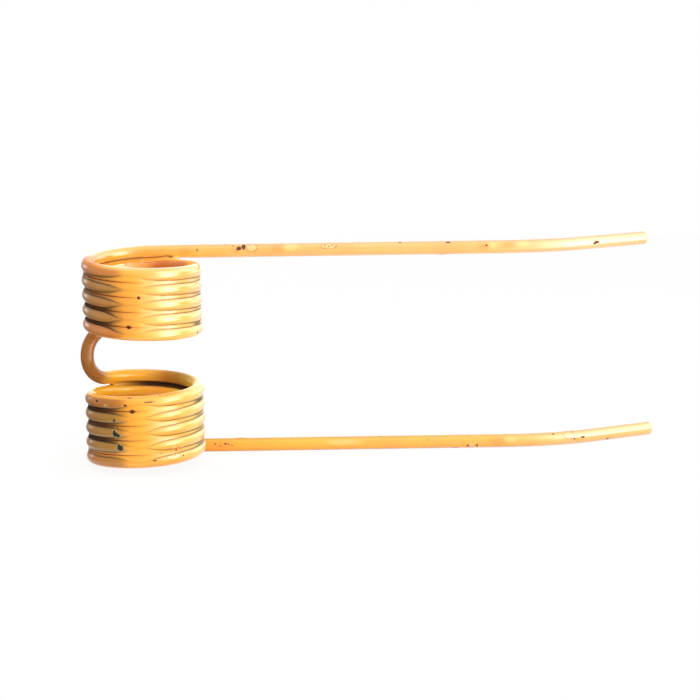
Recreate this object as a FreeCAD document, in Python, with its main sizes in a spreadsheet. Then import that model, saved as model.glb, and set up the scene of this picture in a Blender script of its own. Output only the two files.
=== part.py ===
# Baler pick-up tine: a double tine bent from one length of round spring wire. Millimetres.
# Z is the axis that both coils share, X runs out along the straight arms, and +Y is the side
# of the coils that the arms leave from, towards which the tips bend.
# The origin is on the coil axis, halfway between the two coils.
import FreeCAD, Part
import math
import os

doc = FreeCAD.newDocument("PickupTine")

# Driving dimensions: name, value and what it is
DRIVING = (
    ("wireDiameter", 5.6, "diameter of the painted spring wire"),
    ("coilBore", 39.0, "inside diameter of both coils"),
    ("turnGap", 0.55, "free gap between neighbouring turns"),
    ("fullTurns", 5, "whole turns in each coil"),
    ("bridgeWrap", 44.0, "degrees that the last turn goes on round towards the bridge"),
    ("bridgeLeg", 2.5, "straight wire between a coil and the bridge bend"),
    ("bridgeBendRadius", 10.4, "centreline radius of the bridge bend"),
    ("armBlendRadius", 60.0, "bend that levels the wire where a coil becomes an arm"),
    ("upperArmReach", 151.5, "coil axis to the start of the upper tip bend"),
    ("lowerArmReach", 154.0, "coil axis to the start of the lower tip bend"),
    ("tipBendRadius", 85.0, "centreline radius of both tip bends"),
    ("tipBendAngle", 27.0, "degrees that a tip leans back"),
    ("tipLength", 27.7, "straight wire beyond a tip bend"),
    ("tipEdgeRadius", 0.7, "rounding of the sheared ends"),
)

sheet = doc.addObject("Spreadsheet::Sheet", "Sizes")
for row, (alias, value, note) in enumerate(DRIVING, start=1):
    sheet.set(f"A{row}", note)
    sheet.set(f"B{row}", str(value))
    sheet.setAlias(f"B{row}", alias)
doc.recompute()

# Lengths and angles that follow from the driving dimensions, as expressions
COIL_RADIUS = "((Sizes.coilBore + Sizes.wireDiameter) / 2)"
PITCH = "(Sizes.wireDiameter + Sizes.turnGap)"
LEAD = f"atan({PITCH} / (2 * pi * {COIL_RADIUS}))"
WRAP = "(Sizes.bridgeWrap * 1 deg)"
LEAN = "(Sizes.tipBendAngle * 1 deg)"
COIL_RISE = f"({PITCH} * (Sizes.fullTurns + Sizes.bridgeWrap / 360))"
LEG_FOOT = f"(Sizes.bridgeBendRadius * cos({LEAD}))"
COIL_FOOT = f"({LEG_FOOT} + Sizes.bridgeLeg * sin({LEAD}))"
COIL_HEAD = f"({COIL_FOOT} + {COIL_RISE})"
ARM_ROOT = f"(Sizes.armBlendRadius * sin({LEAD}))"
ARM_HEIGHT = f"({COIL_HEAD} + Sizes.armBlendRadius * (1 - cos({LEAD})))"

# The coil's last turn ends at this compass angle, counted from +X, and the bridge leaves along its tangent
FOOT_ANGLE = f"(90 deg + {WRAP})"
LEAVE_X = f"(-cos({WRAP}))"
LEAVE_Y = f"(-sin({WRAP}))"
FOOT_X = f"(-{COIL_RADIUS} * sin({WRAP}))"
FOOT_Y = f"({COIL_RADIUS} * cos({WRAP}))"
LEG_RUN = f"(Sizes.bridgeLeg * cos({LEAD}))"
BEND_RUN = f"({LEG_RUN} - Sizes.bridgeBendRadius * sin({LEAD}))"

UPPER = 1
LOWER = -1
sideNames = {UPPER: "Upper", LOWER: "Lower"}


def straight(name, start, end):
    """A straight run of the centreline between two points given as expressions."""
    run = doc.addObject("Part::Line", name)
    for number, point in ((1, start), (2, end)):
        for axis, text in zip("XYZ", point):
            run.setExpression(f"{axis}{number}", text)
    return run


def bend(name, radius, centre, axis, turn, start, end):
    """A round bend of the centreline: a circle about its own centre, turned into its plane."""
    arc = doc.addObject("Part::Circle", name)
    arc.setExpression("Radius", radius)
    arc.setExpression("Angle1", start)
    arc.setExpression("Angle2", end)
    place(arc, centre, axis, turn)
    return arc


def place(item, base, axis, turn):
    """Puts an item at a point and turns it about an axis, all given as expressions."""
    for letter, text in zip("xyz", base):
        item.setExpression(f"Placement.Base.{letter}", text)
    for letter, text in zip("xyz", axis):
        item.setExpression(f"Placement.Rotation.Axis.{letter}", text)
    item.setExpression("Placement.Rotation.Angle", turn)


def coil(side):
    """One coil's helix, from its bridge end to its arm, the lower one the mirror of the upper."""
    helix = doc.addObject("Part::Helix", sideNames[side] + "Coil")
    helix.LocalCoord = "Left-handed" if side == UPPER else "Right-handed"
    helix.setExpression("Radius", COIL_RADIUS)
    helix.setExpression("Pitch", PITCH)
    helix.setExpression("Height", COIL_RISE)
    if side == UPPER:
        place(helix, ("0", "0", COIL_FOOT), ("0", "0", "1"), FOOT_ANGLE)
    else:
        half = f"({FOOT_ANGLE} / 2)"
        place(helix, ("0", "0", f"-{COIL_FOOT}"), (f"cos({half})", f"sin({half})", "0"), "180 deg")
    return helix


def arm(side, reach):
    """The wire from a coil to its tip: levelling bend, straight arm, tip bend and straight tip."""
    name = sideNames[side]
    height = f"({side} * {ARM_HEIGHT})"
    level = bend(
        name + "Level", "Sizes.armBlendRadius",
        (ARM_ROOT, COIL_RADIUS, f"({side} * ({ARM_HEIGHT} - Sizes.armBlendRadius))"),
        ("1", "0", "0"), f"({side} * 90 deg)",
        "90 deg", f"90 deg + {LEAD}")
    run = straight(name + "Arm", (ARM_ROOT, COIL_RADIUS, height), (reach, COIL_RADIUS, height))
    lean = bend(
        name + "TipBend", "Sizes.tipBendRadius",
        (reach, f"{COIL_RADIUS} + Sizes.tipBendRadius", height),
        ("0", "0", "1"), "0 deg",
        "-90 deg", f"-90 deg + {LEAN}")
    tipX = f"({reach} + Sizes.tipBendRadius * sin({LEAN}))"
    tipY = f"({COIL_RADIUS} + Sizes.tipBendRadius * (1 - cos({LEAN})))"
    tip = straight(
        name + "Tip", (tipX, tipY, height),
        (f"{tipX} + Sizes.tipLength * cos({LEAN})", f"{tipY} + Sizes.tipLength * sin({LEAN})", height))
    return [level, run, lean, tip]


def bridgeLeg(side):
    """The short straight wire between a coil and the bridge bend."""
    return straight(
        sideNames[side] + "Leg",
        (FOOT_X, FOOT_Y, f"({side} * {COIL_FOOT})"),
        (f"{FOOT_X} + {LEG_RUN} * {LEAVE_X}", f"{FOOT_Y} + {LEG_RUN} * {LEAVE_Y}", f"({side} * {LEG_FOOT})"))


def bridgeBend():
    """The bridge: one upright bend in the plane that touches both coils where their turns end."""
    # A quarter turn up about X, then round Z to the leaving direction at 180 deg + WRAP
    half = f"(90 deg + {WRAP} / 2)"
    return bend(
        "BridgeBend", "Sizes.bridgeBendRadius",
        (f"{FOOT_X} + {BEND_RUN} * {LEAVE_X}", f"{FOOT_Y} + {BEND_RUN} * {LEAVE_Y}", "0"),
        (f"cos({half})", f"sin({half})", f"sin({half})"),
        f"2 * acos(cos({half}) * cos(45 deg))",
        f"{LEAD} - 90 deg", f"90 deg - {LEAD}")


def wirePath():
    """The whole centreline, from the upper tip round both coils to the lower tip."""
    upper = [bridgeLeg(UPPER), coil(UPPER)] + arm(UPPER, "Sizes.upperArmReach")
    lower = [bridgeLeg(LOWER), coil(LOWER)] + arm(LOWER, "Sizes.lowerArmReach")
    path = doc.addObject("Part::Compound", "WirePath")
    path.Links = upper[::-1] + [bridgeBend()] + lower
    return path


def wireSection(tip):
    """The round section of the wire, square to the straight tip that the path starts with."""
    section = doc.addObject("Part::Circle", "WireSection")
    section.setExpression("Radius", "Sizes.wireDiameter / 2")
    place(
        section, [f"{tip.Name}.{axis}2" for axis in "XYZ"],
        (f"-sin({LEAN})", f"cos({LEAN})", "0"), "90 deg")
    return section


def bentWire(path, section):
    """The wire's section carried along its path as one solid."""
    wire = doc.addObject("Part::Sweep", "BentWire")
    wire.Sections = [section]
    wire.Spine = (path, [f"Edge{n + 1}" for n in range(len(path.Shape.Edges))])
    wire.Solid = True
    wire.Frenet = False
    doc.recompute()
    return wire


def finishedTine(wire):
    """The tine as it leaves the shop: the bent wire with the burr taken off both sheared ends."""
    body = doc.addObject("PartDesign::Body", "DoubleTine")
    body.Label = "double_tine"
    body.BaseFeature = wire
    doc.recompute()
    bent = body.Tip
    shearedEnds = [face for face in bent.Shape.Faces if isinstance(face.Surface, Part.Plane)]
    rims = [
        f"Edge{n + 1}" for n, edge in enumerate(bent.Shape.Edges)
        if any(edge.isSame(rim) for face in shearedEnds for rim in face.Edges)]
    rounding = body.newObject("PartDesign::Fillet", "TipRounding")
    rounding.Base = (bent, rims)
    rounding.setExpression("Radius", "Sizes.tipEdgeRadius")
    body.Tip = rounding
    doc.recompute()
    return body


path = wirePath()
doc.recompute()
section = wireSection(path.Links[0])
doc.recompute()
wire = bentWire(path, section)
tine = finishedTine(wire)

# Nothing may have failed, and the swept wire must hold its section times its length
for item in doc.Objects:
    if "Invalid" in item.State or "Error" in item.State:
        raise RuntimeError(f"{item.Name} failed: {item.State}")
if tine.Shape.isNull() or not tine.Shape.isValid() or len(tine.Shape.Solids) != 1:
    raise RuntimeError("the tine is not one valid solid")
wireLength = sum(edge.Length for edge in path.Shape.Edges)
expected = math.pi * (sheet.wireDiameter / 2) ** 2 * wireLength
print(f"wire length {wireLength:.2f} mm, swept volume {wire.Shape.Volume:.1f} of {expected:.1f} mm3")
if abs(wire.Shape.Volume - expected) > 0.001 * expected:
    raise RuntimeError("the sweep does not hold the wire's section times its length")

os.makedirs("parts", exist_ok=True)
tine.Shape.exportStep(f"parts/{tine.Label}.step")
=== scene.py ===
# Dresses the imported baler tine: glossy yellow paint over coiled spring wire, on a pale studio floor.
import bpy
import numpy as np
from mathutils import Matrix, Vector


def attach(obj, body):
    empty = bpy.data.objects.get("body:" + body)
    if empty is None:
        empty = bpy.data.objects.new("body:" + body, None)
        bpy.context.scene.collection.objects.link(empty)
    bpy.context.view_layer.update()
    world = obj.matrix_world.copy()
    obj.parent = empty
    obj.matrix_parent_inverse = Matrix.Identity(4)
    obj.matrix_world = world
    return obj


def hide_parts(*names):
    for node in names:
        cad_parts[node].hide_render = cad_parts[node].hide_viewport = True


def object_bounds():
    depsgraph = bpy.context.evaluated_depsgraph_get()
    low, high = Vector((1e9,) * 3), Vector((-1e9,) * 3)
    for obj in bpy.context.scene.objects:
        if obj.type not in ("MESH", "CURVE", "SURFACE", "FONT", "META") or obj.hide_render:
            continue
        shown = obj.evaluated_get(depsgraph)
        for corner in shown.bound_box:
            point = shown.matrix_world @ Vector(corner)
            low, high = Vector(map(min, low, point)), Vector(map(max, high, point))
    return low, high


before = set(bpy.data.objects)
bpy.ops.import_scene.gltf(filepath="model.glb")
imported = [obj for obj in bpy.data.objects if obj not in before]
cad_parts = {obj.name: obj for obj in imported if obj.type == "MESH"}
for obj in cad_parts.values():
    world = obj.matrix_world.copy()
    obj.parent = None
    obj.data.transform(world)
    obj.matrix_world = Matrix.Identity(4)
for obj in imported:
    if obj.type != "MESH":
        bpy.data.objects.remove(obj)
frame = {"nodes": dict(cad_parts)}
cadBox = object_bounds()
mm = 0.001
print("frame loaded:", ", ".join(frame["nodes"]))

# The wire as it is bent, in millimetres and degrees
wire = {
    "diameter": 5.6,
    "coilBore": 39.0,
    "turnGap": 0.55,
    "fullTurns": 5,
    "bridgeWrap": 44.0,
    "bridgeLeg": 2.5,
    "bridgeBendRadius": 10.4,
    "armBlendRadius": 60.0,
    "upperArmReach": 151.5,
    "lowerArmReach": 154.0,
    "tipBendRadius": 85.0,
    "tipBendAngle": 27.0,
    "tipLength": 27.7,
    "tipEdgeRadius": 0.7,
    "coilStep": 1.2,
    "armStep": 2.4,
    "bridgeStep": 0.9,
    "endStep": 0.12,
    "markStep": 0.45,
}
wireRadius = wire["diameter"] / 2
coilRadius = (wire["coilBore"] + wire["diameter"]) / 2
pitch = wire["diameter"] + wire["turnGap"]
lead = np.arctan(pitch / (2 * np.pi * coilRadius))
coilTurn = 2 * np.pi * wire["fullTurns"] + np.radians(wire["bridgeWrap"])
quarterTurn = np.pi / 2

# How the paint fills the grooves between turns, against degrees round the coil from the back, through the
# left side at 90, the front at 180 and the right side at 270. A contact is the angle from the outward normal
# at which the paint meets the wire, and the cap is the widest at which its flat face leaves it. A groove
# that holds painted shade has a dry contact of its own.
paintFill = {
    "upperDegrees": (
        0, 50, 80, 98, 124, 143, 153, 160, 164, 178, 182, 186, 190, 203, 217, 253, 300, 335, 360),
    "upperContact": (54, 54, 50, 46, 45, 36, 26, 15, 4, 4, 15, 28, 37, 49, 53, 60, 56, 52, 54),
    "lowerDegrees": (
        0, 50, 80, 98, 124, 145, 155, 164, 169, 173, 184, 188, 193, 200, 207, 222, 255, 300, 360),
    "lowerContact": (54, 54, 50, 46, 46, 44, 39, 26, 12, 4, 4, 12, 26, 37, 42, 51, 60, 56, 54),
    "inside": 62,
    "insideAtRoot": 42,
    "capDegrees": (0, 70, 90, 110, 225, 250, 270, 300, 360),
    "cap": (54, 46, 40, 45, 46, 38, 38, 44, 54),
    "dryDegrees": (80, 94, 138, 157),
    "dryUpper": 57,
    "dryLower": 50,
    "shadedGrooveContact": 70,
    "shadedGrooveFrom": (0.3, 0.9),
    "driest": 80,
    "fadeDegrees": 14,
    "overlap": 0.02,
    "sag": 0.12,
    "creaseDepth": 0.13,
    "creaseWidth": 0.3,
    "creaseFades": (70, 100, 158, 192),
    "lineWidth": 0.34,
    "columns": (5, 6, 7, 12, 13, 14, 22),
}

# Tints of the paint: red, green and blue multiply its colour, and the fourth number is the share of its
# gloss that stays. Most are painted shade or painted light, as the comments by the rows say. The rows under
# the compass say how strongly the grooves' painted shade shows round the coil, and a wedge or end row holds
# a strength for each groove of a coil, counted from its arm.
paintTints = {
    "compass": (0, 60, 80, 95, 140, 152, 160, 168, 182, 187, 205, 240, 262, 300, 360),
    "crestShade": (0.0, 0.0, 0.7, 1.0, 1.0, 1.0, 0.8, 0.0, 0.0, 0.0, 0.0, 0.0, 0.0, 0.0, 0.0),
    "line": (0.2, 0.3, 0.7, 1.0, 1.0, 0.95, 0.7, 0.2, 0.2, 0.6, 0.9, 1.0, 1.0, 0.4, 0.2),
    "crease": (0.2, 0.3, 1.0, 1.0, 1.0, 0.8, 0.6, 0.5, 0.35, 0.25, 0.0, 0.0, 0.0, 0.1, 0.2),
    "wedge": (0.0, 0.2, 1.0, 1.0, 0.95, 0.7, 0.35, 0.1, 0.0, 0.0, 0.0, 0.0, 0.0, 0.0, 0.0),
    # painted shade: the turns' crests at the left darker and greyer; the edge rows are for a coil's first
    # and last turn
    "crestShadeUpper": (0.46, 0.49, 1.1, 0.95),
    "crestShadeLower": (0.37, 0.40, 0.8, 0.85),
    "edgeShadeUpper": (0.62, 0.50, 1.0, 1.0),
    "edgeShadeLower": (0.46, 0.40, 0.7, 0.85),
    # painted shade: dark lines where the paint meets the wire, at the left and at the right
    "leftLineShade": (0.09, 0.13, 0.4, 0.3),
    "rightLineShade": (0.08, 0.17, 0.3, 0.1),
    "leftWidth": 0.42,
    "rightWidth": 0.27,
    # painted shade in the creases at the necks
    "creaseShadeTint": (0.66, 0.45, 0.4, 0.7),
    # painted shade: near black in the upper part of some grooves at the left
    "wedgeShadeTint": (0.02, 0.014, 0.03, 0.05),
    # painted shadow in the bare gap inside each coil by the bridge
    "insideShadowTint": (0.03, 0.015, 0.015, 0.05),
    "wedgeUpper": (0.35, 0.5, 1.0, 1.0, 0.0),
    "wedgeLower": (0.1, 1.0, 0.9, 1.0, 0.0),
    # painted shade near the ends of some grooves at the right
    "endDegrees": (238, 248, 257, 264),
    "endUpper": (0.1, 0.2, 0.2, 0.9, 0.0),
    "endLower": (0.4, 0.3, 0.5, 1.0, 0.0),
    "endShadeTint": (0.10, 0.10, 0.11, 0.4),
    "endWidth": 0.4,
    # painted shade: a dark line behind the upper arm's root, inside the coil
    "rootWidth": 0.34,
    "rootDegrees": (85, 62),
    "rootShadeTint": (0.15, 0.09, 0.03, 0.3),
    # painted light under the upper arm's root
    "armRootLightTint": (1.03, 1.32, 2.2, 1.0),
    # painted shade on the top of the upper coil's top turn, at the left
    "rimDegrees": (68, 90, 125, 150),
    "rimShadeTint": (0.62, 0.5, 0.7, 0.35),
    # painted light: the coils' right sides paler, the upper coil's half as much
    "rightDegrees": (215, 240, 310, 335),
    "rightLightTint": (0.97, 1.4, 5.0, 1.0),
    # painted shade on the inside wall of the upper coil's top turn, at the right back
    "wallDegrees": (275, 300, 345, 362),
    "wallShadeTint": (0.62, 0.42, 0.5, 0.6),
    # painted highlight: the tips paler
    "upperTipHighlightTint": (1.03, 1.16, 1.9, 1.0),
    "lowerTipHighlightTint": (1.03, 1.28, 5.2, 1.0),
    "tipRise": (880, 925),
    # painted light on the upper arm and painted shade on the lower: one paint, lit and shaded
    "upperArmLightTint": (1.0, 1.06, 3.7, 1.0),
    "lowerArmShadeTint": (0.98, 0.98, 0.2, 0.35),
    "upperArmFull": 805,
    "lowerArmEnd": 890,
    # the arms darker and duller along their tops, and less red and paler underneath
    "armTopTint": (0.60, 0.76, 1.0, 0.45),
    "armUnderTint": (0.62, 0.92, 1.5, 0.9),
    # painted shade: the lower coil deeper in colour, except at its right
    "lowDegrees": (0, 200, 230, 270),
    "lowShadeTint": (0.96, 0.98, 0.5, 0.75),
    # painted light inside the lower coil's last turns
    "innerLightTint": (1.08, 1.36, 0.6, 0.75),
    # painted shade on the bridge
    "bridgeShadeTint": (0.32, 0.27, 0.12, 0.38),
    # painted shadow inside the lower coil's last pass
    "passDegrees": (1690, 1730, 1760, 1778, 1793, 1808),
    "passShade": (0.0, 0.5, 0.8, 0.7, 0.35, 0.0),
    "passShadowTint": (0.19, 0.12, 0.05, 0.35),
}

# Marks on the wire: length from the bridge's middle in mm, negative on the lower half, degrees round from
# the outward normal, half length along, half width round, and height of the surface there, all in mm
marks = {
    "holes": (
        (386.0, 49, 0.5, 0.3, -0.2), (526.0, 311, 0.5, 0.3, -0.2),
        (109.5, 49, 0.85, 0.4, -0.35), (249.5, 311, 0.85, 0.4, -0.35),
        (-109.0, 49, 0.95, 0.4, -0.35), (-249.0, 311, 0.95, 0.4, -0.35),
        (776.0, 166, 0.4, 0.4, -0.05), (774.3, 128, 0.35, 0.3, 0.0), (881.6, 158, 0.42, 0.42, -0.05),
        (865.4, 121, 1.0, 0.5, -0.05), (845.0, 116, 0.6, 0.4, 0.0), (747.9, 226, 0.75, 0.5, -0.1),
        (79.0, 346, 0.55, 0.5, -0.05), (-124.5, 343, 0.75, 0.6, -0.05), (-98.0, 285, 0.4, 0.4, 0.0),
        (-868.0, 115, 1.4, 0.38, 0.0), (-910.0, 239, 0.5, 0.45, 0.0), (-935.5, 139, 0.7, 0.42, 0.0),
        (-919.0, 262, 0.45, 0.35, 0.0), (-877.2, 150, 0.32, 0.8, 0.0), (-783.0, 272, 0.4, 0.4, 0.0)),
    "chips": (
        (778.7, 136, 0.95, 1.7, -0.08), (776.8, 150, 1.2, 1.1, -0.04), (759.0, 163, 0.35, 0.75, 0.0),
        (813.2, 140, 0.4, 0.35, 0.0), (814.8, 146, 0.5, 0.35, 0.0), (816.2, 137, 0.35, 0.35, 0.0),
        (929.8, 174, 1.45, 0.8, -0.08), (928.6, 182, 0.7, 0.6, -0.05), (918.0, 245, 0.4, 0.35, 0.0),
        (-764.8, 200, 0.5, 0.4, 0.0), (-769.2, 201, 0.7, 0.5, -0.03), (-767.0, 182, 0.4, 0.35, 0.0),
        (-770.6, 194, 0.4, 0.3, 0.0), (-772.0, 184, 0.35, 0.3, 0.0), (-873.2, 148, 0.35, 0.8, 0.0),
        (-923.0, 185, 1.0, 0.5, -0.04), (-919.0, 175, 0.5, 0.4, 0.0), (-111.5, 9, 0.7, 0.6, -0.04),
        (-256.5, 14, 0.65, 0.8, -0.04), (-513.0, 58, 0.4, 0.5, -0.1), (-662.0, 351, 0.9, 0.38, 0.0),
        (-102.5, 348, 2.3, 0.32, 0.0), (-110.0, 300, 1.3, 0.3, 0.0), (-650.5, 345, 0.4, 0.4, 0.0)),
    "scars": (
        (-396.8, 0, 0.65, 1.85, -0.1), (-396.0, 8, 0.8, 1.1, -0.05), (-395.4, 17, 1.1, 1.0, -0.1),
        (-534.5, 358, 1.1, 1.4, -0.12), (-535.3, 350, 0.7, 1.6, -0.05)),
    "flakes": (
        (782.2, 148, 2.4, 1.7, 0.05), (814.8, 145, 3.4, 1.1, 0.03), (-916.5, 215, 2.3, 1.5, 0.05),
        (-514.0, 28, 1.6, 0.7, 0.04), (-510.6, 42, 0.9, 0.6, 0.04), (-656.2, 340, 1.3, 0.7, 0.05),
        (-652.6, 334, 1.1, 0.8, 0.05), (-874.8, 158, 1.4, 1.2, 0.04), (-120.0, 12, 0.9, 0.8, 0.0)),
    # deeper orange: on the arms, painted shade where the sheen dips at small bends; at the star chip, the
    # paint's own orange
    "orangeAndShade": (
        (793.0, 150, 4.2, 2.8, 0.0), (754.0, 172, 4.5, 2.5, 0.0), (880.2, 160, 3.2, 2.4, 0.0),
        (891.0, 150, 3.6, 2.4, 0.0), (776.0, 160, 3.4, 2.4, 0.0), (810.5, 163, 0.9, 0.8, 0.0),
        (-872.0, 140, 2.6, 1.7, 0.0), (-886.0, 180, 4.5, 2.6, 0.0), (-921.0, 180, 3.4, 1.6, 0.0),
        (-768.0, 195, 5.5, 2.5, 0.0), (-513.0, 60, 1.6, 2.2, 0.0)),
    # painted highlights where the arms' sheen brightens at small bends
    "paleHighlight": (
        (798.7, 146, 4.0, 2.2, 0.0), (884.6, 160, 2.2, 1.8, 0.0), (897.0, 150, 3.4, 1.8, 0.0),
        (-891.5, 200, 3.4, 1.6, 0.0), (-820.0, 200, 9.0, 1.6, 0.0)),
    "bumps": (
        (862.5, 264, 2.6, 0.9, 0.26), (-776.0, 271, 1.9, 0.9, 0.24), (-872.0, 138, 1.8, 1.2, 0.2),
        (750.5, 200, 1.6, 1.2, 0.12), (-917.0, 262, 3.5, 1.2, 0.12)),
}


# The direction of the wire, from the middle of the bridge out to one tip. In each stretch the compass
# heading and the slope change evenly with length, so both are straight lines between the stretches' ends.
def stretches(reach):
    lean = np.radians(wire["tipBendAngle"])
    rows = (
        (wire["bridgeBendRadius"] * (quarterTurn - lead), coilTurn, lead),
        (wire["bridgeLeg"], coilTurn, lead),
        (coilTurn * coilRadius / np.cos(lead), 0.0, lead),
        (wire["armBlendRadius"] * lead, 0.0, 0.0),
        (reach - wire["armBlendRadius"] * np.sin(lead), 0.0, 0.0),
        (wire["tipBendRadius"] * lean, lean, 0.0),
        (wire["tipLength"], lean, 0.0))
    lengths, headings, slopes = np.array(rows).T
    ends = np.concatenate(([0.0], np.cumsum(lengths)))
    return ends, np.concatenate(([coilTurn], headings)), np.concatenate(([quarterTurn], slopes))


# The centreline: the direction summed up along the length, from the bridge's outermost point
def halfWire(reach, fineStep=0.05):
    ends, headings, slopes = stretches(reach)
    s = np.linspace(0, ends[-1], int(ends[-1] / fineStep))
    heading = np.interp(s, ends, headings)
    slope = np.interp(s, ends, slopes)
    level = np.cos(slope)
    tangent = np.stack((level * np.cos(heading), level * np.sin(heading), np.sin(slope)), 1)
    wrap = np.radians(wire["bridgeWrap"])
    back = wire["bridgeLeg"] * np.cos(lead) + wire["bridgeBendRadius"] * (1 - np.sin(lead))
    start = np.array((
        -coilRadius * np.sin(wrap) - back * np.cos(wrap),
        coilRadius * np.cos(wrap) - back * np.sin(wrap), 0.0))
    steps = (tangent[1:] + tangent[:-1]) / 2 * np.diff(s)[:, None]
    return s, start + np.concatenate((np.zeros((1, 3)), np.cumsum(steps, 0))), ends


halves = {1: halfWire(wire["upperArmReach"]), -1: halfWire(wire["lowerArmReach"])}
upperLength = halves[1][2][-1]
lowerLength = halves[-1][2][-1]
coilStart, coilEnd = halves[1][2][2], halves[1][2][3]


# Place, direction and outward normal at lengths s along the wire, counted from the bridge's middle,
# the lower half being the mirror image of an upper one with its own reach
def alongWire(s):
    place = np.empty((len(s), 3))
    tangent = np.empty((len(s), 3))
    normal = np.zeros((len(s), 3))
    for side, reach in ((1, wire["upperArmReach"]), (-1, wire["lowerArmReach"])):
        here = s >= 0 if side == 1 else s < 0
        a = np.abs(s[here])
        fine, points, _ = halves[side]
        ends, headings, slopes = stretches(reach)
        heading, slope = np.interp(a, ends, headings), np.interp(a, ends, slopes)
        half = np.stack([np.interp(a, fine, points[:, k]) for k in range(3)], 1)
        place[here] = half * (1, 1, side)
        level = np.cos(slope) * side
        tangent[here] = np.stack((level * np.cos(heading), level * np.sin(heading), np.sin(slope)), 1)
        normal[here, 0], normal[here, 1] = -np.sin(heading), np.cos(heading)
    return place, tangent, normal


# Degrees of coil from the arm's root down to length s: zero at the root, and negative along the arm
def coilAngle(s):
    return coilTurn * (coilEnd - np.abs(s)) / (coilEnd - coilStart)


# A rise from 0 to 1 as value goes from low to high, level at both ends
def smoothRise(value, low, high):
    share = np.clip((value - low) / (high - low), 0, 1)
    return share * share * (3 - 2 * share)


halfPitch = pitch / 2


# The groove on one side of the wire at lengths s: its angle from its own start, its number counted from
# the arm, and whether there is paint in it
def grooveAt(s, towards):
    groove = coilAngle(s) - (2 * np.pi if towards == 1 else 0)
    wet = (groove >= 0) & (groove <= coilTurn - 2 * np.pi) & (np.abs(s) > coilStart)
    return groove, np.clip((groove // (2 * np.pi)).astype(int), 0, 4), wet


# An amount for each groove of the upper coil and each of the lower
def byGroove(s, number, upperName, lowerName):
    return np.where(s > 0, np.take(paintTints[upperName], number), np.take(paintTints[lowerName], number))


# How far each groove counts as one that holds painted shade, from 0 to 1
def shadedGrooveShare(s, number):
    return smoothRise(byGroove(s, number, "wedgeUpper", "wedgeLower"), *paintFill["shadedGrooveFrom"])


# Angle at which the paint in the groove on one side meets the wire at lengths s, whether there is paint, and
# degrees round the coil. The grooves that hold painted shade are deeper at the left, and towards both ends
# of a groove the paint shrinks back to the driest angle.
def grooveFill(s, towards):
    groove, number, wet = grooveAt(s, towards)
    last = coilTurn - 2 * np.pi
    compass = np.degrees(groove) % 360
    contact = np.where(
        s > 0, np.interp(compass, paintFill["upperDegrees"], paintFill["upperContact"]),
        np.interp(compass, paintFill["lowerDegrees"], paintFill["lowerContact"]))
    below = s < 0
    wave = 1 + 0.05 * np.sin(2.3 * groove + 1.1 + 2 * below) + 0.04 * np.sin(7.1 * groove + 0.7 * below)
    dry = np.interp(compass, paintFill["dryDegrees"], (0.3, 1, 1, 0)) * (compass > 60)
    dry = dry * shadedGrooveShare(s, number)
    dryContact = np.where(s > 0, paintFill["dryUpper"], paintFill["dryLower"])
    contact = contact * wave * (1 - dry) + dryContact * dry
    ease = smoothRise(np.degrees(np.minimum(groove, last - groove)), 0, paintFill["fadeDegrees"])
    contact = paintFill["driest"] + (contact - paintFill["driest"]) * ease
    return np.radians(contact), wet, compass


# The angle at which the flat paint leaves the wire; where the line is drawn further in than this cap, the
# line lies on the flat paint
def flatContact(contact, compass, s, towards):
    number = grooveAt(s, towards)[1]
    cap = np.interp(compass, paintFill["capDegrees"], paintFill["cap"])
    shadedGroove = shadedGrooveShare(s, number) * (compass > 60) * (compass < 170)
    return np.minimum(contact, np.radians(cap * (1 - shadedGroove) + paintFill["shadedGrooveContact"] * shadedGroove))


# The same inside the coil, where more paint has gathered behind the arm's root
def insideContact(s, towards):
    groove = np.degrees(grooveAt(s, towards)[0])
    nearRoot = smoothRise(groove, 120, 50) * (s > 0)
    return np.radians(paintFill["inside"] * (1 - nearRoot) + paintFill["insideAtRoot"] * nearRoot)


# The paint's neck is halfway to the next turn, sag nearer the wire's axis than where it meets the wire
def neckAngle(contact):
    return np.arctan2(halfPitch, wireRadius * np.cos(contact) - paintFill["sag"] * np.sin(contact))


# Distance from the wire's centre to the painted surface at angle phi from the outward normal: the wire as
# far as the contact, then a nearly flat face that sags by a parabola and has a crease at the neck, then the
# plane halfway between the turns
def fillDistance(phi, contact, crease):
    flat = wireRadius * np.cos(contact)
    height = np.minimum(flat * np.tan(np.minimum(phi, 1.5)), halfPitch)
    share = (halfPitch - height) / np.maximum(halfPitch - wireRadius * np.sin(contact), 0.05)
    sag = paintFill["sag"] * np.sin(contact) * (1 - np.clip(share, 0, 1) ** 2)
    cut = crease * np.exp(-(halfPitch - height) / paintFill["creaseWidth"])
    face = (flat - sag - cut) / np.maximum(np.cos(phi), 0.05)
    wall = (halfPitch + paintFill["overlap"]) / np.maximum(np.sin(phi), 0.5)
    return np.where(phi < contact, wireRadius, np.where(phi <= neckAngle(contact) + 1e-6, face, wall))


# Where the paint in the groove on one side meets the wire and where its neck is, in radians from the
# outward normal, and whether there is paint; evenly spaced stand-ins serve where there is none
def grooveLines(s, towards):
    contact, wet, compass = grooveFill(s, towards)
    flat = flatContact(contact, compass, s, towards)
    columns = paintFill["columns"]
    inner = np.pi - neckAngle(insideContact(s, towards))
    line = np.where(contact > flat, np.arctan2(np.sin(contact), np.cos(flat)), contact)
    touch = np.where(wet, line, np.pi * columns[1] / columns[-1])
    neck = np.where(wet, neckAngle(flat), np.pi * columns[3] / columns[-1])
    middle = np.where(wet, quarterTurn, np.pi * columns[4] / columns[-1])
    inner = np.where(wet, inner, np.pi * columns[5] / columns[-1])
    return touch, neck, middle, inner, wet, compass


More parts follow.
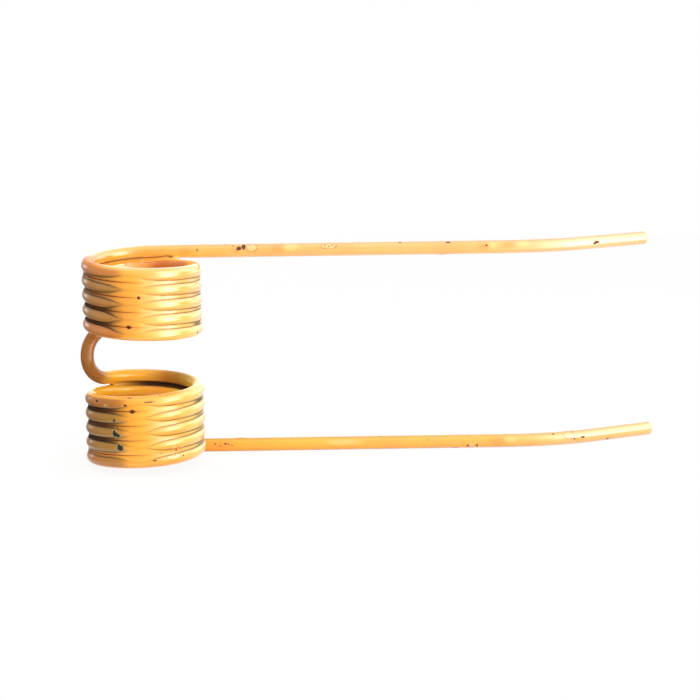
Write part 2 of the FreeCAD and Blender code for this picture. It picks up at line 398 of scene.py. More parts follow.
# Angles round the wire of a ring's points, from the outward normal towards the arm's side: the columns
# keep to the line where the groove's paint starts, its neck, the wall behind it and the inner neck
def ringAngles(s):
    sides = []
    line = paintFill["lineWidth"] / wireRadius
    for towards in (1, -1):
        touch, neck, middle, inner, _, _ = grooveLines(s, towards)
        shown = np.maximum(touch, line * 1.6)
        stops = (0 * s, shown - line, shown, shown + line, neck, middle, inner, 0 * s + np.pi)
        numbers = (0, *paintFill["columns"])
        angles = []
        for k in range(len(numbers) - 1):
            share = np.arange(numbers[k + 1] - numbers[k]) / (numbers[k + 1] - numbers[k])
            angles.append(stops[k][:, None] * (1 - share) + stops[k + 1][:, None] * share)
        sides.append(np.concatenate(angles, 1))
    opposite = 0 * s[:, None] + np.pi
    return np.concatenate((sides[0], opposite, 2 * np.pi - sides[1][:, :0:-1]), 1)


# Height of the marks on the surface: a bell exp(-(along / long)^2 - (round / wide)^2) for each
def markHeight(s, phi):
    height = np.zeros(phi.shape)
    for kind in marks.values():
        for at, degrees, long, wide, rise in kind:
            if rise:
                near = np.abs(s - at) < 3 * long
                turn = (phi[near] - np.radians(degrees) + np.pi) % (2 * np.pi) - np.pi
                along = ((s[near] - at) / long)[:, None]
                height[near] += rise * np.exp(-along ** 2 - (turn * wireRadius / wide) ** 2)
    return height


# Radius of the painted wire at length s and angle phi, with the grooves on its two sides filled
def paintedRadius(s, phi):
    radius = np.full(phi.shape, wireRadius)
    for towards in (1, -1):
        contact, wet, compass = grooveFill(s, towards)
        contact = flatContact(contact, compass, s, towards)
        wet, contact = wet[:, None], contact[:, None]
        crease = paintFill["creaseDepth"] * np.interp(compass, paintFill["creaseFades"], (0, 1, 1, 0))
        side = phi if towards == 1 else 2 * np.pi - phi
        outer = fillDistance(side, contact, crease[:, None])
        inner = fillDistance(np.pi - side, insideContact(s, towards)[:, None], 0)
        radius = np.where(wet & (side > 0) & (side <= quarterTurn), outer, radius)
        radius = np.where(wet & (side > quarterTurn) & (side < np.pi), inner, radius)
    return radius + markHeight(s, phi)


# Painted shadow: the bare gap between a coil's last two turns by the bridge is dark on the inside of the
# coil
def insideShade(s, phi):
    angle = np.degrees(coilAngle(s))
    last = np.degrees(coilTurn)
    shade = np.zeros(phi.shape)
    for towards, start, end in ((1, last - 130, last + 24), (-1, last - 490, last - 336)):
        along = smoothRise(angle, start, start + 20) * smoothRise(angle, end - 10, end - 70)
        side = phi if towards == 1 else 2 * np.pi - phi
        around = np.degrees(side)
        across = smoothRise(around, 80, 96) * smoothRise(around, 150, 126)
        shade = np.maximum(shade, along[:, None] * across)
    return shade


# Blends are pairs of a share from 0 to 1 and a tint. These belong to the grooves' paint, and all are painted
# shade: the turns' crests at the left darker and greyer, lines exp(-(distance / width)^2) where the paint
# starts, creases at the necks, near black on the upper part of some grooves and dark at the ends of some,
# and the line behind the upper arm's root. A turn with paint on one side only, a coil's first or last, has a
# crest shade of its own.
def grooveBlends(s, signed):
    crest = np.ones(signed.shape)
    crestShades, blends = [], []
    for towards in (1, -1):
        touch, neck, _, _, wet, compass = grooveLines(s, towards)
        groove, number, _ = grooveAt(s, towards)
        crestShade, line, crease, wedge = (
            np.interp(compass, paintTints["compass"], paintTints[k]) * wet
            for k in ("crestShade", "line", "crease", "wedge"))
        crestShades.append(crestShade)
        side = np.where(signed * towards >= 0, np.abs(signed), 10.0)
        away = (side - touch[:, None]) * wireRadius
        toNeck = (neck[:, None] - side) * wireRadius
        crest = crest * (1 - smoothRise(np.where(side < 9, away, -9), -0.45, 0.0))
        left = smoothRise(compass, 178, 168)[:, None]
        lineWidth = paintTints["rightWidth"] * (1 - left) + paintTints["leftWidth"] * left
        left = left[:, :, None]
        lineShadeTint = left * paintTints["leftLineShade"] + (1 - left) * np.array(paintTints["rightLineShade"])
        wedgeShade = wedge * byGroove(s, number, "wedgeUpper", "wedgeLower")
        ends = np.interp(compass, paintTints["endDegrees"], (0, 1, 1, 0)) * wet
        ends = ends * byGroove(s, number, "endUpper", "endLower")
        fromInside = (np.pi - insideContact(s, towards)[:, None] - side) * wireRadius - 0.1
        behindRoot = smoothRise(np.degrees(groove), *paintTints["rootDegrees"]) * (s > 0)
        behindRoot = behindRoot * (wet & (towards == -1))
        blends += [
            (np.exp(-(away / lineWidth) ** 2) * line[:, None], lineShadeTint),
            (np.exp(-(toNeck / paintFill["creaseWidth"]) ** 2) * crease[:, None], paintTints["creaseShadeTint"]),
            (smoothRise(away, -0.4, 0.05) * wedgeShade[:, None] * (toNeck > -0.3), paintTints["wedgeShadeTint"]),
            (np.exp(-(toNeck / paintTints["endWidth"]) ** 2) * ends[:, None], paintTints["endShadeTint"]),
            (np.exp(-(fromInside / paintTints["rootWidth"]) ** 2) * behindRoot[:, None],
             paintTints["rootShadeTint"])]
    both, either = crestShades[0] * crestShades[1], np.maximum(crestShades[0], crestShades[1])
    for sign, crestShadeName, edgeShadeName in ((1, "crestShadeUpper", "edgeShadeUpper"), (-1, "crestShadeLower", "edgeShadeLower")):
        here = crest * (s * sign > 0)[:, None]
        blends.append((here * both[:, None], paintTints[crestShadeName]))
        blends.append((here * (either - both)[:, None], paintTints[edgeShadeName]))
    return blends


# Blends of whole stretches of the wire: each has a share along it, from lengths in mm or degrees of coil,
# and a share round it, from radians. Most of them paint light and shade: painted shade darkens the bridge,
# the lower coil, the lower arm, the top of the upper coil's top turn at the left, and the inside of turns
# that shows past the next piece of wire, where it is a painted shadow at the lower coil's last pass; painted
# light makes the tips, the upper arm, the coils' right sides, the inside of the lower coil's last turns and
# the underside of the upper arm's root paler. The arms are also darker and duller along their tops, and less
# red and paler underneath.
def stretchBlends(s, phi, signed):
    length, inward = np.abs(s), np.abs(signed)
    degrees = np.degrees(coilAngle(s))
    compass = degrees % 360
    onCoil = (length > coilStart) & (length < coilEnd)
    onArm = smoothRise(length, coilEnd - 20, coilEnd + 25)
    upwards = np.sin(phi) * np.sign(s)[:, None]
    plateau = (0, 1, 1, 0)
    rows = (
        ("bridgeShadeTint", 1 - smoothRise(length, coilStart - 9, coilStart + 1), 1),
        ("upperTipHighlightTint", smoothRise(s, *paintTints["tipRise"]), 1),
        ("lowerTipHighlightTint", smoothRise(-s, *paintTints["tipRise"]), 1),
        ("armTopTint", onArm, smoothRise(upwards, 0.75, 0.95)),
        ("armUnderTint", onArm, smoothRise(-upwards, 0.80, 0.96)),
        ("upperArmLightTint", smoothRise(s, coilEnd, paintTints["upperArmFull"]), 1),
        ("lowerArmShadeTint", smoothRise(-s, coilEnd - 15, coilEnd + 10)
         * np.interp(-s, (coilEnd, paintTints["lowerArmEnd"]), (1, 0)), 1),
        ("lowShadeTint", np.interp(compass, paintTints["lowDegrees"], (1, 1, 0.6, 0.1)) * onCoil * (s < 0), 1),
        ("rightLightTint", np.interp(compass, paintTints["rightDegrees"], plateau) * onCoil
         * np.where(s > 0, 0.5, 1), 1),
        ("innerLightTint", smoothRise(degrees, 1290, 1350) * (s < -coilStart + 6), smoothRise(inward, 1.1, 1.7)),
        ("armRootLightTint", smoothRise(s, coilEnd - 45, coilEnd - 25) * smoothRise(s, coilEnd + 26, coilEnd + 8),
         smoothRise(-signed, 1.6, 2.2)),
        ("rimShadeTint", np.interp(degrees, paintTints["rimDegrees"], plateau) * (s > 0),
         smoothRise(signed, 0.55, 1.0) * smoothRise(signed, 2.9, 2.4)),
        ("wallShadeTint", np.interp(degrees, paintTints["wallDegrees"], plateau) * (s > 0),
         smoothRise(inward, 1.7, 2.3)),
        ("passShadowTint", np.interp(degrees, paintTints["passDegrees"], paintTints["passShade"]) * (s < 0),
         smoothRise(inward, 1.2, 1.8)))
    return [(along[:, None] * around, paintTints[name]) for name, along, around in rows]


# Tint of the paint at length s and angle phi, mostly painted shade and painted light: the product of all
# blends, each 1 - share (1 - tint)
def paintTint(s, phi):
    signed = (phi + np.pi) % (2 * np.pi) - np.pi
    blends = grooveBlends(s, signed) + stretchBlends(s, phi, signed)
    blends.append((insideShade(s, phi), paintTints["insideShadowTint"]))
    tint = np.ones((*phi.shape, 4))
    for share, colour in blends:
        tint *= 1 - share[:, :, None] * (1 - np.array(colour))
    return tint


# Lengths along the wire at which it has a ring of points, closer together where the shape needs it
def wireStations():
    fine = np.arange(-lowerLength, upperLength, 0.05)
    fine[-1] = upperLength
    a = np.abs(fine)
    step = np.where(a < coilEnd + 20, wire["coilStep"], wire["armStep"])
    step = np.where(a < coilStart, wire["bridgeStep"], step)
    for kind in marks.values():
        for at, _, long, _, rise in kind:
            if rise:
                near = np.abs(fine - at) < 2 * long + 0.4
                step = np.where(near, np.minimum(step, wire["markStep"]), step)
    toEnd = np.minimum(fine + lowerLength, upperLength - fine)
    step = np.where(toEnd < wire["tipEdgeRadius"], wire["endStep"], step)
    count = np.concatenate(([0.0], np.cumsum(np.diff(fine) / step[1:])))
    return np.interp(np.linspace(0, count[-1], int(count[-1]) + 1), count, fine)


# A closed tube as one mesh: quads between neighbouring rings of a grid of points in mm, and a fan to a
# centre at each end.
def tubeMesh(name, rings, centres):
    rows, columns = rings.shape[:2]
    corner = np.arange(rows * columns).reshape(rows, columns)
    beside = np.roll(corner, -1, 1)
    quads = np.stack((corner[:-1], beside[:-1], beside[1:], corner[1:]), 2).reshape(-1, 4)
    firstCap = np.stack((np.full(columns, rows * columns), beside[0], corner[0]), 1)
    lastCap = np.stack((np.full(columns, rows * columns + 1), corner[-1], beside[-1]), 1)
    points = np.concatenate((rings.reshape(-1, 3), centres)) * mm
    mesh = bpy.data.meshes.new(name)
    mesh.from_pydata(points.tolist(), [], quads.tolist() + firstCap.tolist() + lastCap.tolist())
    mesh.shade_smooth()
    return mesh


# Each point of a tube gets its tint, mostly painted shade and painted light, and the two centres get none
def tintMesh(mesh, tint):
    tints = np.concatenate((tint.reshape(-1, 4), np.ones((2, 4))))
    mesh.attributes.new("paintTint", "FLOAT_COLOR", "POINT").data.foreach_set("color", tints.ravel())


# The painted wire: its section carried along the centreline, closed at both ends by a flat disc whose
# rim is rounded, so that near an end the section shrinks as the side of a quarter circle does
def buildWire():
    s = wireStations()
    around = ringAngles(s)
    place, tangent, normal = alongWire(s)
    binormal = np.cross(tangent, normal)
    edge = wire["tipEdgeRadius"]
    sunk = np.maximum(edge - np.minimum(s + lowerLength, upperLength - s), 0)
    shrink = edge - np.sqrt(np.maximum(edge ** 2 - sunk ** 2, 0))
    radius = paintedRadius(s, around) - shrink[:, None]
    across = (radius * np.cos(around))[:, :, None] * normal[:, None, :]
    points = place[:, None, :] + across + (radius * np.sin(around))[:, :, None] * binormal[:, None, :]
    rows, columns = around.shape
    mesh = tubeMesh("paintedWire", points, place[[0, -1]])
    # Both necks of a groove are sharp, so that the hidden wall behind them does not tilt the shading
    neckColumns = [paintFill["columns"][k] for k in (3, 5)]
    neckColumns += [columns - k for k in neckColumns]
    ends = np.empty(2 * len(mesh.edges), int)
    mesh.edges.foreach_get("vertices", ends)
    ends = ends.reshape(-1, 2)
    column = ends % columns
    sharp = (column[:, 0] == column[:, 1]) & np.isin(column[:, 0], neckColumns)
    sharp &= ends.max(1) < rows * columns
    edgeRow = np.minimum(ends.min(1) // columns, rows - 1)
    sharp &= (np.abs(s[edgeRow]) > coilStart) & (np.abs(s[edgeRow]) < coilEnd)
    mesh.attributes.new("sharp_edge", "BOOLEAN", "EDGE").data.foreach_set("value", sharp)
    tintMesh(mesh, paintTint(s, around))
    # The map runs once along the wire and once round it
    along = (s + lowerLength) / (upperLength + lowerLength)
    turned = np.concatenate((around, np.full((rows, 1), 2 * np.pi)), 1) / (2 * np.pi)
    grid = np.stack((np.repeat(along[:, None], columns + 1, 1), turned), 2)
    quadMap = np.stack((grid[:-1, :-1], grid[:-1, 1:], grid[1:, 1:], grid[1:, :-1]), 2).reshape(-1, 2)
    maps = [quadMap]
    for row, a, b in ((0, 1, 0), (rows - 1, 0, 1)):
        centre = np.repeat(grid[row, :1], columns, 0)
        cap = np.stack((centre, grid[row, a:][:columns], grid[row, b:][:columns]), 1)
        maps.append(cap.reshape(-1, 2))
    layer = mesh.uv_layers.new(name="wireMap")
    layer.uv.foreach_set("vector", np.concatenate(maps).ravel())
    piece = bpy.data.objects.new("paintedWire", mesh)
    bpy.context.scene.collection.objects.link(piece)
    print(f"wire mesh: {rows} rings of {columns}, {2 * rows * columns} triangles")
    return piece


# A web of dried paint hangs between the upper arm's root and the turn under it. Lengths in mm along x,
# contacts in degrees from the direction across the web to the line where it meets the wire.
web = {
    "from": -8.0,
    "to": 14.0,
    "step": 0.4,
    "armContact": 44,
    "passContact": 40,
    "backContact": 62,
    "sag": 0.35,
    "columns": 17,
    "thinning": 5.0,
    "thinnest": 0.35,
    "endTail": 1.3,
    "armLineWidth": 0.5,
    "armLineFades": (12.5, 9.5),
    "passLineWidth": 0.38,
    # painted light on the web, and painted shade in the lines where it meets the arm and the turn
    "webLightTint": (1.02, 1.15, 1.5, 0.8),
    "armLineShade": (0.17, 0.10, 0.04, 0.3),
    "passLineShade": (0.34, 0.27, 0.16, 0.4),
    "pinhole": (10.8, 0.32, 0.7),
    "pinholeTint": (0.12, 0.06, 0.04, 0.2),
}


# Places on the upper half of the wire between two lengths, at given distances x
def wireAt(x, first, last):
    place = alongWire(np.linspace(first, last, 400))[0]
    return np.stack([x] + [np.interp(x, place[:, 0], place[:, k]) for k in (1, 2)], 1)


# The web: at each x a closed ring with a front and a back face between the two wires, each face sagging as
# 4t(1 - t) does; towards its free end the web thins as a square root does, and it reaches further at the arm
def buildWeb():
    x = np.arange(web["from"], web["to"] + web["step"] / 2, web["step"])
    perDegree = (coilEnd - coilStart) / np.degrees(coilTurn)
    armCentre = wireAt(x, coilEnd - 30 * perDegree, coilEnd + 20)
    passCentre = wireAt(x, coilEnd - 390 * perDegree, coilEnd - 300 * perDegree)
    across = passCentre - armCentre
    across /= np.linalg.norm(across, axis=1)[:, None]
    front = np.stack((0 * x, across[:, 2], -across[:, 1]), 1)
    share = np.linspace(0, 1, web["columns"])
    toEnd = np.clip((web["to"] - x) / web["thinning"], 0, 1)
    thick = web["thinnest"] + (1 - web["thinnest"]) * np.sqrt(toEnd)

    def face(outward, first, second, order):
        a, b = np.radians(first), np.radians(second)
        start = armCentre + wireRadius * (np.cos(a) * thick[:, None] * outward + np.sin(a) * across)
        end = passCentre + wireRadius * (np.cos(b) * thick[:, None] * outward - np.sin(b) * across)
        t = share[order][None, :, None]
        bend = web["sag"] * 4 * t * (1 - t) * thick[:, None, None]
        return start[:, None] * (1 - t) + end[:, None] * t - outward[:, None] * bend

    rings = np.concatenate((
        face(front, web["armContact"], web["passContact"], slice(None)),
        face(-front, web["backContact"], web["backContact"], slice(None, None, -1))), 1)
    t = np.concatenate((share, share[::-1]))
    rings[:, :, 0] += web["endTail"] * (1 - t ** 2 - 0.5) * ((x - x[0]) / (x[-1] - x[0]))[:, None] ** 4
    mesh = tubeMesh("paintWeb", rings, rings[[0, -1]].mean(1))
    # Painted light over the whole web, painted shade where it meets the arm and a fainter painted shade line
    # at the turn, and a pinhole near the free end
    tint = np.ones((*rings.shape[:2], 4)) * web["webLightTint"]
    width = np.linalg.norm(passCentre - armCentre, axis=1)[:, None] - 2 * wireRadius * 0.62
    pinX, pinShare, pinWide = web["pinhole"]
    fades = smoothRise(x, *web["armLineFades"])[:, None]
    pinAlong = ((x - pinX) / (1.6 * pinWide))[:, None]
    for amount, colour in (
            (np.exp(-(t * width / web["armLineWidth"]) ** 2) * fades, web["armLineShade"]),
            (np.exp(-((1 - t) * width / web["passLineWidth"]) ** 2), web["passLineShade"]),
            (np.exp(-pinAlong ** 2 - ((t - pinShare) * width / pinWide) ** 2), web["pinholeTint"])):
        tint *= 1 - amount[:, :, None] * (1 - np.array(colour))
    tintMesh(mesh, tint)
    # No mark lies at the bridge's middle, where the whole web sits on the wire's map
    layer = mesh.uv_layers.new(name="wireMap")
    middle = (lowerLength / (upperLength + lowerLength), 0.25)
    layer.uv.foreach_set("vector", np.tile(middle, len(mesh.loops)))
    piece = bpy.data.objects.new("paintWeb", mesh)
    bpy.context.scene.collection.objects.link(piece)
    return piece


# One shader node with its settings and inputs; an input that is a socket is linked, another is set
def addNode(tree, kind, inputs=None, **settings):
    node = tree.nodes.new(kind)
    for name, value in settings.items():
        setattr(node, name, value)
    for name, value in (inputs or {}).items():
        socket = node.inputs[name]
        if isinstance(value, bpy.types.NodeSocket):
            tree.links.new(value, socket)
        else:
            socket.default_value = value
    return node


def newMaterial(name):
    material = bpy.data.materials.new(name)
    material.use_nodes = True
    material.node_tree.nodes.clear()
    return material, material.node_tree


yellowPaint = {
    "colour": (0.88, 0.372, 0.026, 1),
    "deeper": (0.87, 0.335, 0.022, 1),
    "cloudScale": 45,
    "orangeAndShade": (0.87, 0.24, 0.012, 1),
    "paleHighlight": (0.96, 0.62, 0.20, 1),
    "flake": (0.93, 0.66, 0.32, 1),
    "rust": (0.20, 0.06, 0.016, 1),
    "scale": (0.030, 0.024, 0.020, 1),
    "scar": (0.012, 0.014, 0.007, 1),
    "scarRim": (0.42, 0.25, 0.08, 1),
    "hole": (0.010, 0.004, 0.002, 1),
    "holeRim": (0.50, 0.17, 0.02, 1),
    "speckScale": 260,
    "speckSize": 0.10,
    "speckShare": 0.90,
    "raggedScale": 1400,
    "ragged": 0.22,
    "peelScale": 420,
    "peelHeight": 0.00003,
    "markHeight": 0.00006,
    "roughness": 0.30,
    "chipRoughness": 0.9,
    "specular": 0.6,
    "coatRoughness": 0.10,
    "coatIor": 1.6,
}


# Distance from the nearest of some marks, counted in each mark's own half length and half width, at a
# place given in mm along the wire and round it
def nearestMark(tree, place, kind, girth):
    nearest = None
    for at, degrees, long, wide, _ in marks[kind]:
        centre = (at + lowerLength, degrees / 360 * girth, 0)
        away = addNode(tree, "ShaderNodeVectorMath", {0: place, 1: centre}, operation="SUBTRACT")
        wrapped = addNode(tree, "ShaderNodeVectorMath", {
            0: away.outputs[0], 1: (1e4, girth / 2, 1), 2: (-1e4, -girth / 2, -1)}, operation="WRAP")
        scaled = addNode(tree, "ShaderNodeVectorMath", {
            0: wrapped.outputs[0], 1: (1 / long, 1 / wide, 0)}, operation="MULTIPLY")
        reach = addNode(tree, "ShaderNodeVectorMath", {0: scaled.outputs[0]}, operation="LENGTH")
        reach = reach.outputs["Value"]
        if nearest is None:
            nearest = reach
        else:
            nearest = mathNode(tree, "MINIMUM", nearest, reach)
    return nearest


# A share that falls smoothly from 1 at distance near to 0 at distance far
def fadeOut(tree, distance, near, far):
    return addNode(tree, "ShaderNodeMapRange", {
        "Value": distance, "From Min": near, "From Max": far, "To Min": 1.0, "To Max": 0.0},
        interpolation_type="SMOOTHSTEP").outputs["Result"]


def mixColour(tree, share, under, over, kind="MIX"):
    mixed = tree.nodes.new("ShaderNodeMix")
    mixed.data_type = "RGBA"
    mixed.blend_type = kind
    for socket, value in ((mixed.inputs[0], share), (mixed.inputs[6], under), (mixed.inputs[7], over)):
        if isinstance(value, bpy.types.NodeSocket):
            tree.links.new(value, socket)
        else:
            socket.default_value = value
    return mixed.outputs[2]


def mathNode(tree, operation, *values):
    return addNode(tree, "ShaderNodeMath", dict(enumerate(values)), operation=operation).outputs[0]


def paintMaterial():
    material, tree = newMaterial("yellowPaint")
    girth = 2 * np.pi * wireRadius
    place = addNode(tree, "ShaderNodeTexCoord")
    onWire = addNode(tree, "ShaderNodeUVMap", uv_map="wireMap")
    ragged = addNode(tree, "ShaderNodeTexNoise", {
        "Vector": place.outputs["Object"], "Scale": yellowPaint["raggedScale"], "Detail": 3.0})
    shaken = addNode(tree, "ShaderNodeVectorMath", {
        0: ragged.outputs["Color"], 1: (0.5, 0.5, 0.5)}, operation="SUBTRACT")
    jitter = addNode(tree, "ShaderNodeVectorMath", {
        0: shaken.outputs[0], 1: (2 * yellowPaint["ragged"],) * 2 + (0,)}, operation="MULTIPLY")
    spot = addNode(tree, "ShaderNodeVectorMath", {
        0: onWire.outputs["UV"], 1: (upperLength + lowerLength, girth, 0), 2: jitter.outputs[0]},
        operation="MULTIPLY_ADD").outputs[0]
    distance = {kind: nearestMark(tree, spot, kind, girth)
                for kind in ("holes", "chips", "scars", "orangeAndShade", "paleHighlight")}
    torn = addNode(tree, "ShaderNodeVectorMath", {
        0: jitter.outputs[0], 1: (1.6, 1.6, 0), 2: spot}, operation="MULTIPLY_ADD").outputs[0]
    distance["flakes"] = nearestMark(tree, torn, "flakes", girth)
    # Clouds of slightly deeper paint, then the soft and the sharp marks one over another
    clouds = addNode(tree, "ShaderNodeTexNoise", {
        "Vector": place.outputs["Object"], "Scale": yellowPaint["cloudScale"], "Detail": 2.0})
    colour = mixColour(tree, fadeOut(tree, clouds.outputs["Fac"], 0.38, 0.62),
                       yellowPaint["colour"], yellowPaint["deeper"])
    # The tints, mostly painted shade and painted light, multiply the paint's colour
    tint = addNode(tree, "ShaderNodeAttribute", attribute_name="paintTint")
    colour = mixColour(tree, 1.0, colour, tint.outputs["Color"], "MULTIPLY")
    # Deeper orange patches, painted shade on the arms and the paint's own orange at the star chip, and pale
    # patches, painted highlights
    orangeAndShade = mathNode(tree, "MULTIPLY", fadeOut(tree, distance["orangeAndShade"], 0.2, 1.2), 0.5)
    colour = mixColour(tree, orangeAndShade, colour, yellowPaint["orangeAndShade"])
    paleHighlight = mathNode(tree, "MULTIPLY", fadeOut(tree, distance["paleHighlight"], 0.1, 1.3), 0.5)
    colour = mixColour(tree, paleHighlight, colour, yellowPaint["paleHighlight"])
    flake = mathNode(tree, "MULTIPLY", fadeOut(tree, distance["flakes"], 0.8, 1.0), 0.3)
    colour = mixColour(tree, flake, colour, yellowPaint["flake"])
    nearEdge = mathNode(tree, "COMPARE", distance["flakes"], 1.0, 0.12)
    patchy = fadeOut(tree, ragged.outputs["Fac"], 0.55, 0.4)
    edgeShare = mathNode(tree, "MULTIPLY", mathNode(tree, "MULTIPLY", nearEdge, patchy), 0.8)
    colour = mixColour(tree, edgeShare, colour, yellowPaint["rust"])
    rusty = fadeOut(tree, ragged.outputs["Fac"], 0.40, 0.58)
    bare = mixColour(tree, rusty, yellowPaint["rust"], yellowPaint["scale"])
    rim = fadeOut(tree, distance["holes"], 1.0, 1.9)
    colour = mixColour(tree, mathNode(tree, "MULTIPLY", rim, 0.75), colour, yellowPaint["holeRim"])
    chip = fadeOut(tree, distance["chips"], 0.75, 1.05)
    colour = mixColour(tree, chip, colour, bare)
    colour = mixColour(tree, fadeOut(tree, distance["scars"], 1.0, 1.4), colour, yellowPaint["scarRim"])
    scar = fadeOut(tree, distance["scars"], 0.7, 1.15)
    colour = mixColour(tree, scar, colour, yellowPaint["scar"])
    chip = mathNode(tree, "MAXIMUM", chip, scar)
    hole = fadeOut(tree, distance["holes"], 0.7, 1.05)
    colour = mixColour(tree, hole, colour, yellowPaint["hole"])
    # Small specks all over: a few cells of a cell pattern hold a dark dot
    cells = addNode(tree, "ShaderNodeTexVoronoi", {
        "Vector": place.outputs["Object"], "Scale": yellowPaint["speckScale"]})
    parts = addNode(tree, "ShaderNodeSeparateColor", {0: cells.outputs["Color"]})
    chosen = mathNode(tree, "GREATER_THAN", parts.outputs[0], yellowPaint["speckShare"])
    size = yellowPaint["speckSize"]
    dot = fadeOut(tree, cells.outputs["Distance"], size * 0.5, size * 1.3)
    speck = mathNode(tree, "MULTIPLY", dot, chosen)
    colour = mixColour(tree, mathNode(tree, "MULTIPLY", speck, 0.7), colour, yellowPaint["rust"])
    spoilt = mathNode(tree, "MAXIMUM", hole, mathNode(tree, "MULTIPLY", speck, 0.6))
    spoilt = mathNode(tree, "MAXIMUM", chip, spoilt)
    dull = mathNode(tree, "SUBTRACT", 1.0, tint.outputs["Alpha"])
    roughness = addNode(tree, "ShaderNodeMapRange", {
        "Value": mathNode(tree, "MAXIMUM", spoilt, dull),
        "To Min": yellowPaint["roughness"], "To Max": yellowPaint["chipRoughness"]})
    gloss = mathNode(tree, "SUBTRACT", 1.0, mathNode(tree, "MULTIPLY", spoilt, 0.92))
    gloss = mathNode(tree, "MULTIPLY", gloss, tint.outputs["Alpha"])
    # Orange peel and the marks' edges
    peel = addNode(tree, "ShaderNodeTexNoise", {
        "Vector": place.outputs["Object"], "Scale": yellowPaint["peelScale"], "Detail": 2.0})
    peelBump = addNode(tree, "ShaderNodeBump", {
        "Height": peel.outputs["Fac"], "Distance": yellowPaint["peelHeight"], "Strength": 1.0})
    lift = mathNode(tree, "SUBTRACT", flake, spoilt)
    markBump = addNode(tree, "ShaderNodeBump", {
        "Height": lift, "Distance": yellowPaint["markHeight"], "Strength": 1.0,
        "Normal": peelBump.outputs["Normal"]})
    shader = addNode(tree, "ShaderNodeBsdfPrincipled", {
        "Base Color": colour, "Roughness": roughness.outputs["Result"],
        "Specular IOR Level": yellowPaint["specular"], "Coat Weight": gloss,
        "Coat Roughness": yellowPaint["coatRoughness"], "Coat IOR": yellowPaint["coatIor"],
        "Normal": markBump.outputs["Normal"], "Coat Normal": markBump.outputs["Normal"]})
    output = addNode(tree, "ShaderNodeOutputMaterial")
    tree.links.new(shader.outputs[0], output.inputs["Surface"])
    return material


# Camera: fitted to the photograph, in millimetres and degrees
viewpoint = {
    "lens": 133.714,
    "azimuth": 0.37,
    "elevation": 10.098,
    "roll": -0.797,
    "aim": (86.304, 0.0, 2.455),
    "distance": 1088.56,
}


def placeCamera():
    azimuth, elevation, roll = (np.radians(viewpoint[k]) for k in ("azimuth", "elevation", "roll"))
    level = np.cos(elevation)
    forward = np.array((np.sin(azimuth) * level, np.cos(azimuth) * level, -np.sin(elevation)))
    right = np.array((np.cos(azimuth), -np.sin(azimuth), 0.0))
    up = np.cross(right, forward)
    tiltedRight = np.cos(roll) * right + np.sin(roll) * up
    tiltedUp = np.cos(roll) * up - np.sin(roll) * right
    data = bpy.data.cameras.new("photoCamera")
    data.lens = viewpoint["lens"]
    data.sensor_width = 36.0
    data.clip_end = 20.0
    camera = bpy.data.objects.new("photoCamera", data)
    turn = Matrix(np.stack((tiltedRight, tiltedUp, -forward), 1).tolist())
    spot = (np.array(viewpoint["aim"]) - viewpoint["distance"] * forward) * mm
    camera.matrix_world = Matrix.Translation(Vector(spot)) @ turn.to_4x4()
    bpy.context.scene.collection.objects.link(camera)
    bpy.context.scene.camera = camera


# Studio: a lamp card faces the tine from a compass angle, counted from the camera's side to the right, and
# a height angle, both in degrees; lengths are millimetres. The dome round it all shows in gloss only.
studio = {
    "floorLow": (-40, -60),
    "floorHigh": (420, 700),
    "floorGlow": 0.90,
    "worldFill": 0.42,
    "aim": (30, 0, 0),
    "cards": {
        "keySoftbox": {
            "compass": 42, "height": 30, "distance": 1300, "size": (1900, 1600),
            "glow": 2.2, "colour": (1.0, 0.99, 0.96)},
        "lowFill": {
            "compass": 42, "height": -26, "distance": 1300, "size": (1500, 900),
            "glow": 3.4, "colour": (1.0, 0.99, 0.96)},
        "frontSoftbox": {
            "compass": -4, "height": 24, "distance": 1350, "size": (1500, 1200),
            "glow": 2.3, "colour": (1.0, 0.99, 0.96)},
        "leftFill": {
            "compass": -78, "height": 12, "distance": 1300, "size": (1200, 1200),
            "glow": 1.3, "colour": (1.0, 0.88, 0.76)},
        "topSoftbox": {
            "compass": 180, "height": 78, "distance": 1200, "size": (1500, 1100),
            "glow": 2.0, "colour": (1, 1, 1)},
        "rimLight": {
            "compass": -143, "height": 24, "distance": 1400, "size": (500, 500),
            "glow": 3.0, "colour": (1.0, 0.95, 0.92)},
    },
}
dome = {
    "radius": 1700,
    "stepsRound": 144,
    "stepsUp": 72,
    "compass": (-180, -166, -150, -120, -90, -60, -35, -14, 0, 14, 30, 60, 95, 125, 150, 166, 180),
    "level": (2.1, 1.5, 0.3, 0.30, 0.45, 0.30, 0.30, 0.4, 0.6, 1.0, 1.8, 3.9, 4.0, 2.8, 1.4, 1.8, 2.1),
    "ceiling": 1.7,
    "ceilingFrom": (36, 76),
    "under": (1.2, 0.8, 0.2, 0.1, 0.08, 0.08, 0.12, 0.3, 0.6, 1.0, 1.9, 4.0, 4.2, 2.6, 1.0, 1.2, 1.2),
    "underFrom": (-8, -32),
    "lowest": 0.08,
    "bells": (
        (55, 6, 17, 34, 5.6),
        (-131, 8, 8, 8, 2.2),
        (90, 4, 17, 17, -4.2)),
}


# World and floor are white where the camera, a reflection or a clear material sees them
def whiteForSight(tree):
    path = addNode(tree, "ShaderNodeLightPath")
    first = addNode(tree, "ShaderNodeMath", {
        0: path.outputs["Is Camera Ray"], 1: path.outputs["Is Glossy Ray"]}, operation="MAXIMUM")
    return addNode(tree, "ShaderNodeMath", {
        0: first.outputs[0], 1: path.outputs["Is Transmission Ray"]}, operation="MAXIMUM").outputs[0]


